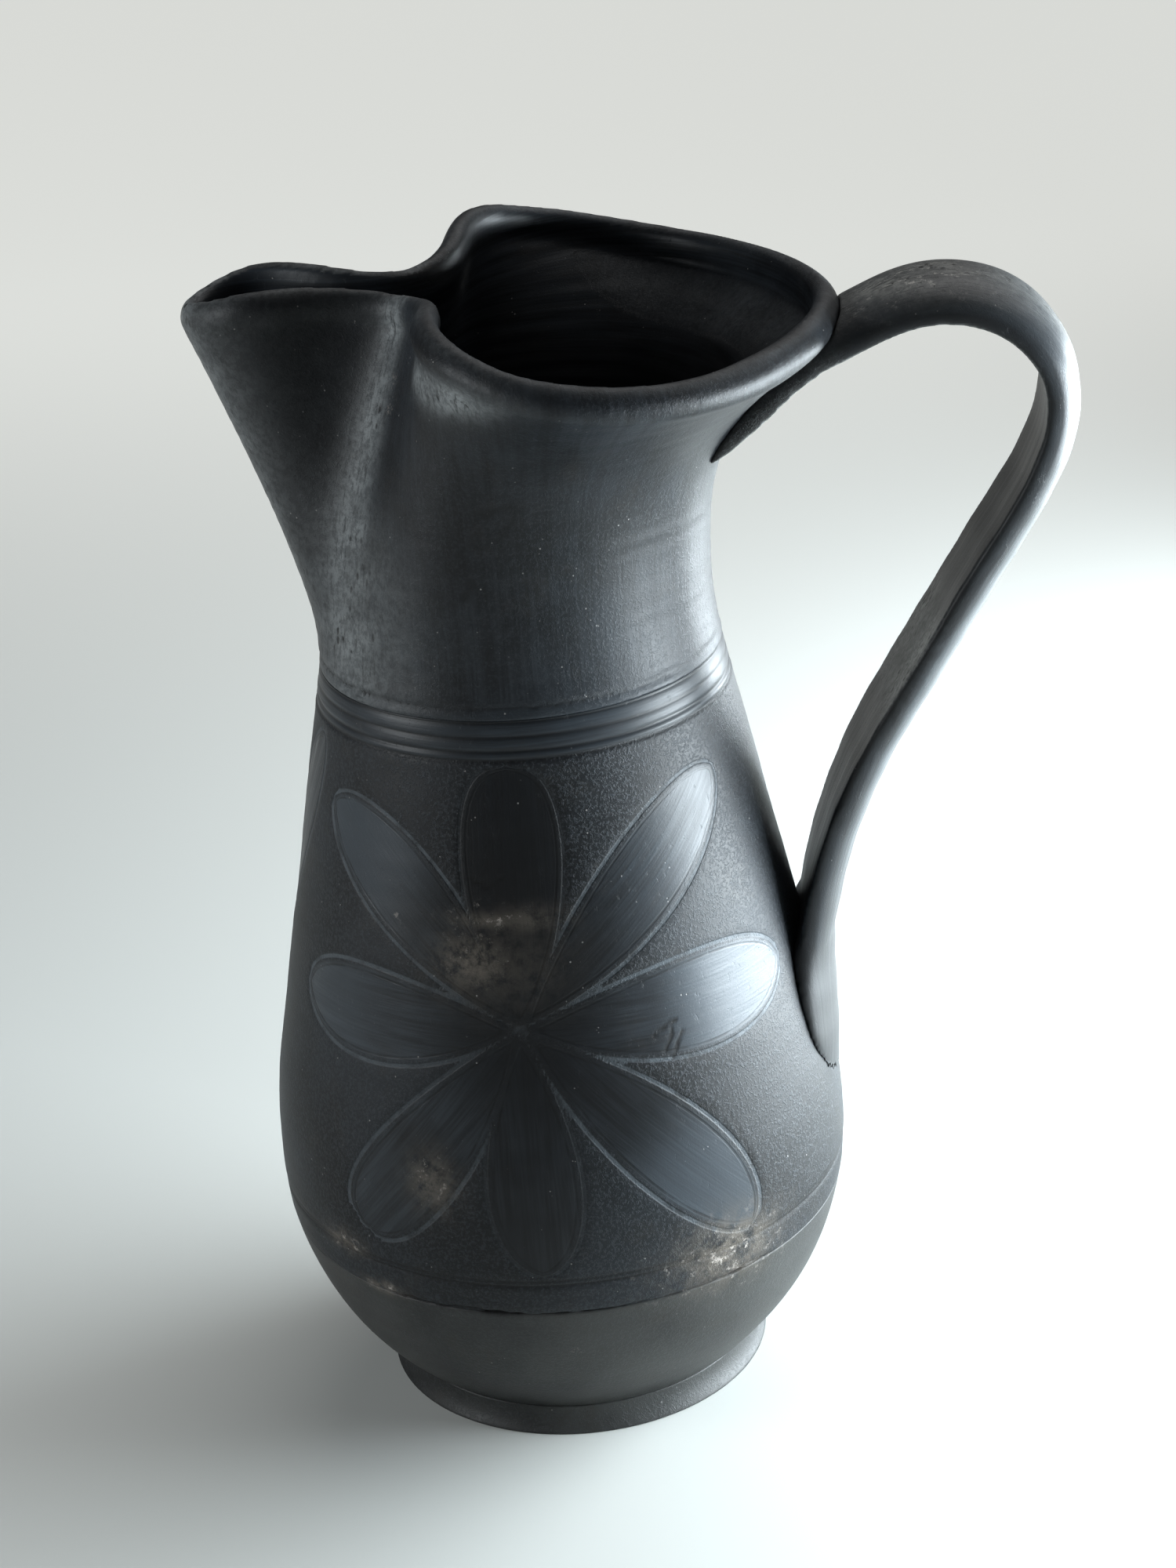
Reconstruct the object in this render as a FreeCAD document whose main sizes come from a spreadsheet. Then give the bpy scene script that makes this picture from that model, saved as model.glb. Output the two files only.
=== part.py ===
import FreeCAD, Part
import Sketcher
import math
import os

# Oinochoe jug: thrown body on a flared foot, pinched spout, strap handle.
# Millimetres, +Z up. The jug's axis is Z and it stands on z = 0.
# The spout points to -X and the handle to +X; the jug is alike either side of y = 0.

doc = FreeCAD.newDocument("OinochoeJug")
sheet = doc.addObject("Spreadsheet::Sheet", "Sizes")

# Driving sizes
sizeRows = [
    ("foot_waist", 47.0, "radius of the hollow between foot and bowl"),
    ("foot_overhang", 2.6, "how far the foot's edge stands out past that hollow"),
    ("foot_height", 7.2, "table to that hollow"),
    ("foot_flare", 9.0, "radius of the foot's concave flare"),
    ("belly_radius", 72.5, "widest radius of the body"),
    ("belly_height", 64.0, "table to the widest place"),
    ("belly_round", 150.0, "radius of the arc above the widest place"),
    ("seam_drop", 13.2, "widest place down to the seam between bowl and belly"),
    ("side_rise", 132.4, "widest place up to the seam under the neck"),
    ("neck_seam_radius", 48.9, "outer radius at the seam under the neck"),
    ("wall", 5.0, "wall of the body"),
    ("floor", 6.0, "clay under the inside, above the foot"),
    ("floor_round", 9.0, "radius of the inside corner of the floor"),
    ("neck_wall", 4.4, "wall of the neck and the spout"),
    ("throat_rise", 16.9, "neck seam up to the neck's narrowest place"),
    ("neck_rise", 80.6, "neck seam up to the middle of the lip, at the back"),
    ("pinch_rise", 11.5, "how much higher the lip stands at the pinch"),
    ("spout_reach", 69.9, "axis to the middle of the lip, at the spout's tip"),
    ("mouth_back", 76.9, "axis to the middle of the lip, at the back"),
    ("mouth_inset", 3.0, "the belly's widest radius less the lip's middle at the side"),
    ("beak_half", 13.1, "middle plane to the lip, at the beak's cheek"),
    ("lip_height", 7.6, "height of the rolled lip"),
    ("lip_thickness", 5.8, "thickness of the rolled lip"),
    ("strap_half", 16.6, "half the width of the handle strap"),
    ("strap_thickness", 8.6, "thickness of the strap at its crown"),
    ("handle_depth", 49.5, "middle of the lip, at the back, out to the strap's furthest inner face"),
    ("arch_drop", 2.2, "middle of the lip down to the strap's inner face at the arch"),
    ("root_drop", 20.2, "middle of the lip down to where that face leaves the neck"),
    ("root_collar", 3.2, "clay worked under and beside the strap's upper end"),
    ("root_length", 17.0, "how far that clay runs out along the strap"),
    ("tongue_rise", 57.0, "widest place up to where the strap meets the belly"),
    ("tongue_length", 41.0, "length of the pressed tongue down the belly"),
    ("tongue_half", 22.0, "half the width of the tongue"),
]
values = {}
for row, (alias, size, meaning) in enumerate(sizeRows, start=1):
    sheet.set("A%d" % row, meaning)
    sheet.set("B%d" % row, str(size))
    sheet.setAlias("B%d" % row, alias)
doc.recompute()
for alias, size, meaning in sizeRows:
    values[alias] = float(getattr(sheet, alias))


class Size:
    """A length from the sheet, with the expression that gives it."""

    def __init__(self, value, text):
        self.value = value
        self.text = text

    def __add__(self, other):
        return Size(self.value + other.value, "(%s + %s)" % (self.text, other.text))

    def __sub__(self, other):
        return Size(self.value - other.value, "(%s - %s)" % (self.text, other.text))


def size(alias):
    return Size(values[alias], "Sizes." + alias)


footRadius = size("foot_waist") + size("foot_overhang")
floorHeight = size("foot_height") + size("floor")
seamHeight = size("belly_height") - size("seam_drop")
neckSeamHeight = size("belly_height") + size("side_rise")


# Sketch helpers: a point is a pair of lengths, across and up

def newBody(label):
    body = doc.addObject("PartDesign::Body", label)
    body.Label = label
    return body


def originPlane(body, role):
    for feature in body.Origin.OriginFeatures:
        if feature.Role == role:
            return feature
    raise ValueError("no plane " + role)


class Outline:
    """A closed outline in a body's XZ plane, turned about the jug's axis."""

    def __init__(self, body, name):
        self.body = body
        self.sketch = body.newObject("Sketcher::SketchObject", name)
        self.sketch.AttachmentSupport = (originPlane(body, "XZ_Plane"), [""])
        self.sketch.MapMode = "FlatFace"
        self.first = None
        self.last = None

    def line(self, start, end, meets="Coincident"):
        vectors = [FreeCAD.Vector(point[0], point[1], 0) for point in (start, end)]
        return self.join(self.sketch.addGeometry(Part.LineSegment(*vectors), False), 1, 2, meets)

    def arc(self, centre, start, end, leftHanded=False, meets="Coincident"):
        # a right-handed arc turns anticlockwise from start to end
        radius = math.dist(centre, start)
        circle = Part.Circle(FreeCAD.Vector(centre[0], centre[1], 0), FreeCAD.Vector(0, 0, 1), radius)
        angles = [math.atan2(point[1] - centre[1], point[0] - centre[0]) for point in (start, end)]
        if leftHanded:
            angles.reverse()
        if angles[1] < angles[0]:
            angles[1] += 2 * math.pi
        arc = Part.ArcOfCircle(circle, angles[0], angles[1])
        head, tail = (2, 1) if leftHanded else (1, 2)
        return self.join(self.sketch.addGeometry(arc, False), head, tail, meets)

    def join(self, edge, head, tail, meets):
        if self.last is not None:
            self.constrain(meets, self.last[0], self.last[1], edge, head)
        else:
            self.first = (edge, head)
        self.last = (edge, tail)
        return edge

    def close(self):
        self.constrain("Coincident", self.last[0], self.last[1], self.first[0], self.first[1])

    def constrain(self, kind, *places):
        return self.sketch.addConstraint(Sketcher.Constraint(kind, *places))

    def at(self, edge, end, across=None, up=None):
        if across is not None:
            self.measure("DistanceX", edge, end, across)
        if up is not None:
            self.measure("DistanceY", edge, end, up)

    def measure(self, kind, edge, end, length):
        index = self.constrain(kind, -1, 1, edge, end, length.value)
        self.sketch.setExpression("Constraints[%d]" % index, length.text)

    def radius(self, edge, length):
        index = self.constrain("Radius", edge, length.value)
        self.sketch.setExpression("Constraints[%d]" % index, length.text)

    def onAxis(self, edge, end):
        self.constrain("PointOnObject", edge, end, -2)

    def onGround(self, edge, end):
        self.constrain("PointOnObject", edge, end, -1)

    def revolve(self, name):
        turn = self.body.newObject("PartDesign::Revolution", name)
        turn.Profile = self.sketch
        turn.ReferenceAxis = (self.sketch, ["V_Axis"])
        turn.Angle = 360
        return turn


# The body's outer curve: one arc from foot to widest place, one above it, then a straight side

bellyRadius = values["belly_radius"]
bellyHeight = values["belly_height"]
waistGap = bellyRadius - values["foot_waist"]
waistDrop = bellyHeight - values["foot_height"]
bowlRound = (waistGap ** 2 + waistDrop ** 2) / (2 * waistGap)
bowlRoundText = ("((Sizes.belly_radius - Sizes.foot_waist)^2 + (Sizes.belly_height - Sizes.foot_height)^2)"
                 " / (2 * (Sizes.belly_radius - Sizes.foot_waist))")
bowlCentre = (bellyRadius - bowlRound, bellyHeight)
upperCentre = (bellyRadius - values["belly_round"], bellyHeight)
neckSeam = (values["neck_seam_radius"], neckSeamHeight.value)


def tangentPoint(centre, radius, point):
    # where a line from the point, above, touches the circle on its right side
    across = point[0] - centre[0]
    up = point[1] - centre[1]
    angle = math.atan2(up, across) - math.acos(radius / math.hypot(across, up))
    return (centre[0] + radius * math.cos(angle), centre[1] + radius * math.sin(angle))


sideStart = tangentPoint(upperCentre, values["belly_round"], neckSeam)
sideLean = (sideStart[0] - neckSeam[0]) / (neckSeam[1] - sideStart[1])


def bodyRadius(height):
    if height <= bellyHeight:
        return bowlCentre[0] + math.sqrt(bowlRound ** 2 - (bellyHeight - height) ** 2)
    if height <= sideStart[1]:
        return upperCentre[0] + math.sqrt(values["belly_round"] ** 2 - (height - bellyHeight) ** 2)
    return neckSeam[0] + sideLean * (neckSeam[1] - height)


# Foot: a short disc of clay, flared to a thin edge on the table

def makeFoot():
    foot = Outline(newBody("foot"), "FootOutline")
    edge = (footRadius.value, 0)
    waist = (values["foot_waist"], values["foot_height"])
    chord = math.dist(edge, waist)
    reach = math.sqrt(values["foot_flare"] ** 2 - chord ** 2 / 4)
    centre = ((edge[0] + waist[0]) / 2 + reach * (waist[1] - edge[1]) / chord,
              (edge[1] + waist[1]) / 2 + reach * (edge[0] - waist[0]) / chord)
    base = foot.line((0, 0), edge)
    flare = foot.arc(centre, edge, waist, leftHanded=True)
    top = foot.line(waist, (0, waist[1]))
    foot.line((0, waist[1]), (0, 0))
    foot.close()
    foot.onAxis(base, 1)
    foot.onGround(base, 1)
    foot.onGround(base, 2)
    foot.at(base, 2, across=footRadius)
    foot.at(top, 1, size("foot_waist"), size("foot_height"))
    foot.radius(flare, size("foot_flare"))
    foot.onAxis(top, 2)
    foot.constrain("Horizontal", top)
    foot.revolve("FootTurned")


# Bowl: floor and lower wall, up to the seam

nearShare = 0.001

def makeBowl():
    bowl = Outline(newBody("lower_bowl"), "BowlOutline")
    waist = (values["foot_waist"], values["foot_height"])
    seam = seamHeight.value
    floorTop = floorHeight.value
    inner = bowlRound - values["wall"]
    outerSeam = (bodyRadius(seam), seam)
    innerSeam = (bowlCentre[0] + math.sqrt(inner ** 2 - (bellyHeight - seam) ** 2), seam)
    floorEdge = (bowlCentre[0] + math.sqrt(inner ** 2 - (bellyHeight - floorTop) ** 2), floorTop)
    under = bowl.line((0, waist[1]), waist)
    outside = bowl.arc(bowlCentre, waist, outerSeam)
    rim = bowl.line(outerSeam, innerSeam)
    inside = bowl.arc(bowlCentre, innerSeam, floorEdge, leftHanded=True)
    floorLine = bowl.line(floorEdge, (0, floorTop))
    bowl.line((0, floorTop), (0, waist[1]))
    bowl.close()
    bowl.onAxis(under, 1)
    bowl.constrain("Horizontal", under)
    bowl.at(under, 2, size("foot_waist"), size("foot_height"))
    bowl.radius(outside, Size(bowlRound, bowlRoundText))
    bowl.at(outside, 3, up=size("belly_height"))
    bowl.at(outside, 2, up=seamHeight)
    bowl.constrain("Horizontal", rim)
    bowl.constrain("Coincident", inside, 3, outside, 3)
    bowl.radius(inside, Size(inner, bowlRoundText + " - Sizes.wall"))
    bowl.at(floorLine, 2, up=floorHeight)
    bowl.constrain("Horizontal", floorLine)
    bowl.onAxis(floorLine, 2)
    turned = bowl.revolve("BowlTurned")
    doc.recompute()
    corner = bowl.body.newObject("PartDesign::Fillet", "FloorRound")
    corner.Base = (turned, [levelEdge(turned.Shape, floorEdge)])
    corner.Radius = values["floor_round"]
    corner.setExpression("Radius", "Sizes.floor_round")


def levelEdge(shape, point):
    # the name of the level edge through a point of the outline
    place = Part.Vertex(point[0], 0, point[1])
    found = []
    for number, edge in enumerate(shape.Edges, start=1):
        if edge.BoundBox.ZLength < nearShare * edge.Length:
            found.append((edge.distToShape(place)[0], "Edge%d" % number))
    return min(found)[1]


# Belly: the wall from the seam to the neck

def makeBelly():
    belly = Outline(newBody("belly_wall"), "BellyOutline")
    wall = values["wall"]
    seam = seamHeight.value
    widest = (bellyRadius, bellyHeight)
    widestInside = (bellyRadius - wall, bellyHeight)
    along = math.hypot(1, sideLean)
    normal = (1 / along, sideLean / along)
    innerStart = (sideStart[0] - wall * normal[0], sideStart[1] - wall * normal[1])
    innerTop = (neckSeam[0] - wall * along, neckSeam[1])
    inner = bowlRound - wall
    outerSeam = (bodyRadius(seam), seam)
    innerSeam = (bowlCentre[0] + math.sqrt(inner ** 2 - (bellyHeight - seam) ** 2), seam)
    lower = belly.arc(bowlCentre, outerSeam, widest)
    upper = belly.arc(upperCentre, widest, sideStart)
    side = belly.line(sideStart, neckSeam, meets="Tangent")
    top = belly.line(neckSeam, innerTop)
    innerSide = belly.line(innerTop, innerStart)
    innerUpper = belly.arc(upperCentre, innerStart, widestInside, leftHanded=True, meets="Tangent")
    innerLower = belly.arc(bowlCentre, widestInside, innerSeam, leftHanded=True)
    bottom = belly.line(innerSeam, outerSeam)
    belly.close()
    belly.at(lower, 2, size("belly_radius"), size("belly_height"))
    belly.radius(lower, Size(bowlRound, bowlRoundText))
    belly.at(lower, 3, up=size("belly_height"))
    belly.at(lower, 1, up=seamHeight)
    belly.radius(upper, size("belly_round"))
    belly.at(upper, 3, up=size("belly_height"))
    belly.at(side, 2, size("neck_seam_radius"), neckSeamHeight)
    belly.constrain("Horizontal", top)
    belly.constrain("Parallel", innerSide, side)
    belly.constrain("Coincident", innerUpper, 3, upper, 3)
    belly.constrain("Coincident", innerLower, 3, lower, 3)
    belly.at(innerLower, 2, across=size("belly_radius") - size("wall"))
    belly.at(innerLower, 2, up=size("belly_height"))
    belly.constrain("Horizontal", bottom)
    belly.revolve("BellyTurned")


# Neck and spout. Each row is a place on the mouth, from the spout's tip to the back:
# along (share of the spout's reach, or of the back's), aside (share of the half width),
# rise (share of the pinch's rise), turn on the round neck in degrees, lead (how late the
# wall leaves the round neck) and roll (how full the lip is).

beakShares = [
    (1.00, 0.00, 0.62, 0, 1.30, 0.30),
    (0.84, 1.00, 0.90, 12, 1.30, 0.30),
    (0.55, 0.66, 0.91, 25, 1.40, 0.30),
    (0.29, 0.82, 0.72, 37, 1.55, 0.40),
]
mouthShares = [
    (0.17, 0.34, 0.89, 51, 1.80, 0.60),
    (0.146, 0.578, 1.03, 66, 2.30, 0.85),
    (0.064, 0.83, 0.91, 82, 3.00, 1.00),
    (-0.163, 1.00, 0.44, 100, 3.80, 1.00),
    (-0.508, 0.938, 0.02, 121, 4.00, 1.00),
    (-0.834, 0.597, -0.04, 147, 4.00, 1.00),
    (-1.00, 0.00, 0.05, 180, 4.00, 1.00),
]
levelShares = [0, 0.07, 0.15, 0.24, 0.36, 0.48, 0.60, 0.71, 0.81, 0.90, 1]
nudgeShare = 0.02
steepestShare = 1.3
crownShare = 0.4
rimHeight = neckSeam[1] + values["neck_rise"]
lipCrown = crownShare * values["lip_thickness"]
throatRadius = neckSeam[0] - sideLean * values["throat_rise"] / 2


class MouthPlace:
    """One place round the mouth, followed from the neck seam up to the lip."""

    def __init__(self, row, half, side):
        along, aside, rise, turn, self.lead, self.roll = row
        reach = values["spout_reach"] if along > 0 else values["mouth_back"]
        self.rim = FreeCAD.Vector(-along * reach, side * aside * half, 0)
        self.height = rimHeight + rise * values["pinch_rise"]
        angle = math.radians(turn)
        self.facing = FreeCAD.Vector(-math.cos(angle), side * math.sin(angle), 0)
        self.seat = self.height + lipCrown - values["lip_height"]

    def at(self, share):
        height = neckSeam[1] + share * (self.seat - neckSeam[1])
        gathered = share ** self.lead
        point = self.facing * (neckRadius(height) * (1 - gathered)) + self.rim * gathered
        point.z = height
        return point


def neckRadius(height):
    # the side's lean fades out over the rise to the throat
    left = max(0, 1 - (height - neckSeam[1]) / values["throat_rise"])
    return throatRadius + (neckSeam[0] - throatRadius) * left ** 2


def mouthPlaces():
    half = [(row, values["beak_half"]) for row in beakShares]
    half += [(row, bellyRadius - values["mouth_inset"]) for row in mouthShares]
    near = [MouthPlace(row, width, -1) for row, width in half]
    far = [MouthPlace(row, width, 1) for row, width in half[1:-1]]
    return near[::-1] + far


places = mouthPlaces()


def ringParameters():
    rims = [place.at(1) for place in places]
    steps = [rims[i].distanceToPoint(rims[(i + 1) % len(rims)]) for i in range(len(rims))]
    total = sum(steps)
    return [sum(steps[:i]) / total for i in range(len(rims) + 1)]


parameters = ringParameters()


def ringCurve(points):
    curve = Part.BSplineCurve()
    curve.interpolate(Points=points, Parameters=parameters, PeriodicFlag=True)
    return curve


def outwards(points):
    # level normals of a ring, away from the mouth
    curve = ringCurve(points)
    normals = []
    for parameter in parameters[:-1]:
        tangent = curve.tangent(parameter)[0]
        normals.append(FreeCAD.Vector(-tangent.y, tangent.x, 0).normalize())
    return normals


def wallRings(share):
    # the round neck is drawn by its outside and the mouth by the middle of its wall
    middle = [place.at(share) for place in places]
    below = [place.at(max(0, share - nudgeShare)) for place in places]
    above = [place.at(min(1, share + nudgeShare)) for place in places]
    inner = []
    outer = []
    for place, point, normal, low, high in zip(places, middle, outwards(middle), below, above):
        rise = high - low
        wall = values["neck_wall"] * min(steepestShare, math.hypot(1, rise.dot(normal) / rise.z))
        proud = wall / 2 * share ** place.lead
        outer.append(point + normal * proud)
        inner.append(point - normal * (wall - proud))
    return inner, outer


def ring(points):
    return Part.Wire(ringCurve(points).toShape())


def skin(rings, straight=False):
    return Part.makeLoft(rings, False, straight).Faces


def between(first, second):
    return Part.makeRuledSurface(first, second).Faces


def solidOf(faces):
    shell = Part.makeShell(faces)
    shell.sewShape()
    solid = Part.makeSolid(shell)
    if solid.Volume < 0:
        solid.reverse()
    return solid


def makeNeck():
    innerRings = []
    outerRings = []
    for share in levelShares:
        inner, outer = wallRings(share)
        innerRings.append(ring(inner))
        outerRings.append(ring(outer))
    faces = skin(innerRings) + skin(outerRings)
    faces += between(innerRings[-1], outerRings[-1])
    faces += Part.makeFace([outerRings[0], innerRings[0]], "Part::FaceMakerBullseye").Faces
    return solidOf(faces), outerRings


def filledNeck(outerRings):
    # the neck without its hollow, to trim what is luted to it
    centre = FreeCAD.Vector(0, 0, rimHeight)
    hub = [centre + place.facing * values["neck_wall"] for place in places]
    hubRing = ring(hub)
    faces = skin(outerRings)
    faces += between(outerRings[-1], hubRing)
    faces += [Part.Face(outerRings[0]), Part.Face(hubRing)]
    return solidOf(faces)


# Lip: a rolled band standing on the neck's edge. Each row is a line along it:
# out (share of half the lip's thickness) and up (share of its height).

lipShares = [
    (-1.00, 0.36),
    (-0.92, 0.70),
    (-0.60, 0.92),
    (-0.06, 1.00),
    (0.52, 0.95),
    (1.00, 0.74),
    (1.22, 0.45),
    (1.14, 0.17),
]
plainShare = 0.75


def makeLip():
    inner, outer = wallRings(1)
    middle = [place.at(1) for place in places]
    normals = outwards(middle)
    half = values["lip_thickness"] / 2
    rings = [ring(inner)]
    for out, up in lipShares:
        points = []
        for place, point, normal in zip(places, middle, normals):
            fullness = plainShare + (1 - plainShare) * place.roll
            if out > 1:
                fullness = plainShare + (1 - plainShare / out) * place.roll
            lift = FreeCAD.Vector(0, 0, up * values["lip_height"])
            points.append(point + normal * (out * half * fullness) + lift)
        rings.append(ring(points))
    rings.append(ring(outer))
    return solidOf(skin(rings, straight=True) + between(rings[0], rings[-1]))


# Handle: a pulled strap, flat inside and crowned outside, from under the lip over the
# arch and down to the belly, where it is pressed out into a tongue. Rows of the path are
# places on the inner face: across and up from the root to the arch's furthest and top,
# then across and up from the belly. The crown's rows are across and out, with the share
# of its length before each. A row of the tongue is down, proud and half width; a row of
# the collar is along the strap and thickness.

archShares = [
    (-0.20, -0.50),
    (-0.09, -0.22),
    (0.0, 0.0),
    (0.19, 0.39),
    (0.35, 0.64),
    (0.47, 0.84),
    (0.60, 0.98),
    (0.74, 0.96),
    (0.86, 0.77),
    (0.95, 0.45),
    (1.0, 0.0),
]
fallShares = [
    (0.949, 0.774),
    (0.741, 0.631),
    (0.459, 0.443),
    (0.25, 0.299),
    (0.115, 0.174),
    (0.038, 0.069),
    (0.0, 0.0),
]
crownShares = [(1.0, 0.0), (0.96, 0.5), (0.6, 0.92), (0.0, 1.0), (-0.6, 0.92), (-0.96, 0.5), (-1.0, 0.0)]
crownStepShares = [0, 0.10, 0.27, 0.50, 0.73, 0.90, 1]
tongueShares = [(0.22, 0.71, 0.93), (0.44, 0.50, 1.0), (0.66, 0.32, 0.96), (0.84, 0.17, 0.80),
                (1.0, 0.05, 0.45)]
collarShares = [(0.0, 1.0), (0.35, 0.70), (0.70, 0.36), (1.0, 0.12)]
collarCrownShare = 0.8
collarSideShare = 0.6
endWidthShare = 0.12
strapStations = 24
beddingShare = 0.16
bedding = beddingShare * values["wall"]
archHeight = rimHeight - values["arch_drop"]
rootHeight = rimHeight - values["root_drop"]
tongueHeight = values["belly_height"] + values["tongue_rise"]
handleReach = values["mouth_back"] + values["handle_depth"]


def rootPoint():
    # on the neck's outside, in the middle plane at the back
    back = places[0]
    share = (rootHeight - neckSeam[1]) / (back.seat - neckSeam[1])
    return back.at(share) + FreeCAD.Vector(values["neck_wall"] / 2 * share ** back.lead, 0, 0)


def strapPath():
    root = rootPoint()
    contact = bodyRadius(tongueHeight)
    points = []
    for across, up in archShares:
        x = root.x + across * (handleReach - root.x)
        points.append(FreeCAD.Vector(x, 0, root.z + up * (archHeight - root.z)))
    for across, up in fallShares:
        x = contact + across * (handleReach - contact)
        points.append(FreeCAD.Vector(x, 0, tongueHeight + up * (archHeight - tongueHeight)))
    curve = Part.BSplineCurve()
    curve.interpolate(points)
    return curve


def crowned(flat, crown):
    # a closed section: straight across the inner face, then round the crown
    curve = Part.BSplineCurve()
    curve.interpolate(Points=crown, Parameters=crownStepShares)
    return Part.Wire([Part.makeLine(flat[0], flat[1]), curve.toShape()])


def strapSection(curve, distance, half, thickness, under=0):
    parameter = curve.parameterAtDistance(distance, curve.FirstParameter)
    tangent = curve.tangent(parameter)[0]
    outward = FreeCAD.Vector(-tangent.z, 0, tangent.x)
    aside = FreeCAD.Vector(0, 1, 0)
    base = curve.value(parameter) - outward * under
    crown = [base + aside * (half * a) + outward * ((thickness + under) * b) for a, b in crownShares]
    return crowned((crown[-1], crown[0]), crown)


def strapWidth(curve, distance):
    # a little wider towards both ends
    fromMiddle = abs(2 * distance / curve.length() - 1)
    return values["strap_half"] * (1 + endWidthShare * fromMiddle ** 3)


def makeStrap(curve):
    sections = []
    for station in range(strapStations + 1):
        distance = station / strapStations * curve.length()
        width = strapWidth(curve, distance)
        sections.append(strapSection(curve, distance, width, values["strap_thickness"]))
    return Part.makeLoft(sections, True, False), sections[-1]


def tongueSection(dropShare, proudShare, halfShare):
    height = tongueHeight - dropShare * values["tongue_length"]
    radius = bodyRadius(height)
    proud = proudShare * (values["strap_thickness"] + bedding)
    half = math.asin(halfShare * values["tongue_half"] / radius)
    crown = []
    for a, b in crownShares:
        reach = radius - bedding + (proud + bedding) * b
        crown.append(FreeCAD.Vector(reach * math.cos(a * half), reach * math.sin(a * half), height))
    return crowned((crown[-1], crown[0]), crown)


def makeTongue(lastSection):
    sections = [lastSection] + [tongueSection(*row) for row in tongueShares]
    return Part.makeLoft(sections, True, False)


def makeCollar(curve):
    # clay under and beside the strap, from inside the neck's wall out along the strap
    rootDistance = curve.length(curve.FirstParameter, curve.parameter(rootPoint()))
    places = [(0, collarShares[0][1])]
    places += [(rootDistance + along * values["root_length"], full) for along, full in collarShares]
    sections = []
    for distance, full in places:
        spread = full * values["root_collar"]
        width = strapWidth(curve, distance) + collarSideShare * spread
        crown = collarCrownShare * values["strap_thickness"]
        sections.append(strapSection(curve, distance, width, crown, spread))
    return Part.makeLoft(sections, True, False)


def bellyCore():
    # the belly without its hollow
    seam = seamHeight.value
    corner = [FreeCAD.Vector(x, 0, z) for x, z in
              [(0, seam), (bodyRadius(seam), seam), (bellyRadius, bellyHeight), sideStart, neckSeam,
               (0, neckSeam[1])]]
    middles = [FreeCAD.Vector(bodyRadius(z), 0, z) for z in
               ((seam + bellyHeight) / 2, (bellyHeight + sideStart[1]) / 2)]
    edges = [Part.makeLine(corner[0], corner[1]),
             Part.Arc(corner[1], middles[0], corner[2]).toShape(),
             Part.Arc(corner[2], middles[1], corner[3]).toShape(),
             Part.makeLine(corner[3], corner[4]),
             Part.makeLine(corner[4], corner[5]),
             Part.makeLine(corner[5], corner[0])]
    face = Part.Face(Part.Wire(edges))
    return face.revolve(FreeCAD.Vector(0, 0, 0), FreeCAD.Vector(0, 0, 1), 360)


def largest(shape):
    return max(shape.Solids, key=lambda solid: solid.Volume)


def addPiece(label, shape):
    piece = doc.addObject("Part::Feature", label)
    piece.Label = label
    piece.Shape = shape
    piece.Placement = FreeCAD.Placement()
    return piece


makeFoot()
makeBowl()
makeBelly()
neck, neckOuter = makeNeck()
lip = makeLip()
path = strapPath()
strap, strapEnd = makeStrap(path)
neckCore = filledNeck(neckOuter)
bodyCore = bellyCore()
strap = largest(strap.cut(neckCore).cut(lip).cut(bodyCore))
tongue = largest(makeTongue(strapEnd).cut(bodyCore))
collar = largest(makeCollar(path).cut(neckCore).cut(lip).cut(strap))
addPiece("neck_spout", neck)
addPiece("lip_roll", lip)
addPiece("handle_strap", strap)
addPiece("handle_tongue", tongue)
addPiece("handle_root", collar)

doc.recompute()

nodes = ["foot", "lower_bowl", "belly_wall", "neck_spout", "lip_roll", "handle_strap", "handle_root",
         "handle_tongue"]
for item in doc.Objects:
    if "Invalid" in item.State or "Error" in item.State:
        raise RuntimeError("failed: " + item.Label)
pieces = {item.Label: item for item in doc.Objects if item.Label in nodes}
for label in nodes:
    shape = pieces[label].Shape
    if shape.isNull() or not shape.isValid():
        raise RuntimeError("bad shape: " + label)

os.makedirs("parts", exist_ok=True)
for label in nodes:
    pieces[label].Shape.exportStep("parts/%s.step" % label)
    print(label, round(pieces[label].Shape.Volume / 1000, 1), "cm3", len(pieces[label].Shape.Solids))
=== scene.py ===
import math
from types import SimpleNamespace

import bpy
import numpy as np
from mathutils import Matrix, Vector


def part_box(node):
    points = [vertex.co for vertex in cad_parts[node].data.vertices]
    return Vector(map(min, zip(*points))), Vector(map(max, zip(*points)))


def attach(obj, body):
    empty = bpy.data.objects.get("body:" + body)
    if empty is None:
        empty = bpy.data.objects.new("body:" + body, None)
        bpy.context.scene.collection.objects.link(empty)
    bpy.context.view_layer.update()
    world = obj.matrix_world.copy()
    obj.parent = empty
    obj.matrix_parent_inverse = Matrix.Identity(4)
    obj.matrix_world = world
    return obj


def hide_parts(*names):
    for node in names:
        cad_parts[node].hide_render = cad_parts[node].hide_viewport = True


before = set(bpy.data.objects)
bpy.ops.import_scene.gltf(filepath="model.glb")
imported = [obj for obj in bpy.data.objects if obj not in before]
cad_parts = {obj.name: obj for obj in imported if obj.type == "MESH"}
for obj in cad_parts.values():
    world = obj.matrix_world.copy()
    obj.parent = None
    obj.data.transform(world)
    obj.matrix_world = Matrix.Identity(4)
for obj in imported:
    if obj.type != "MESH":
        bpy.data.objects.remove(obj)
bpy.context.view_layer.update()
mm = 0.001


# Meshes: reading them, moving their corners and storing what the finishes read

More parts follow.
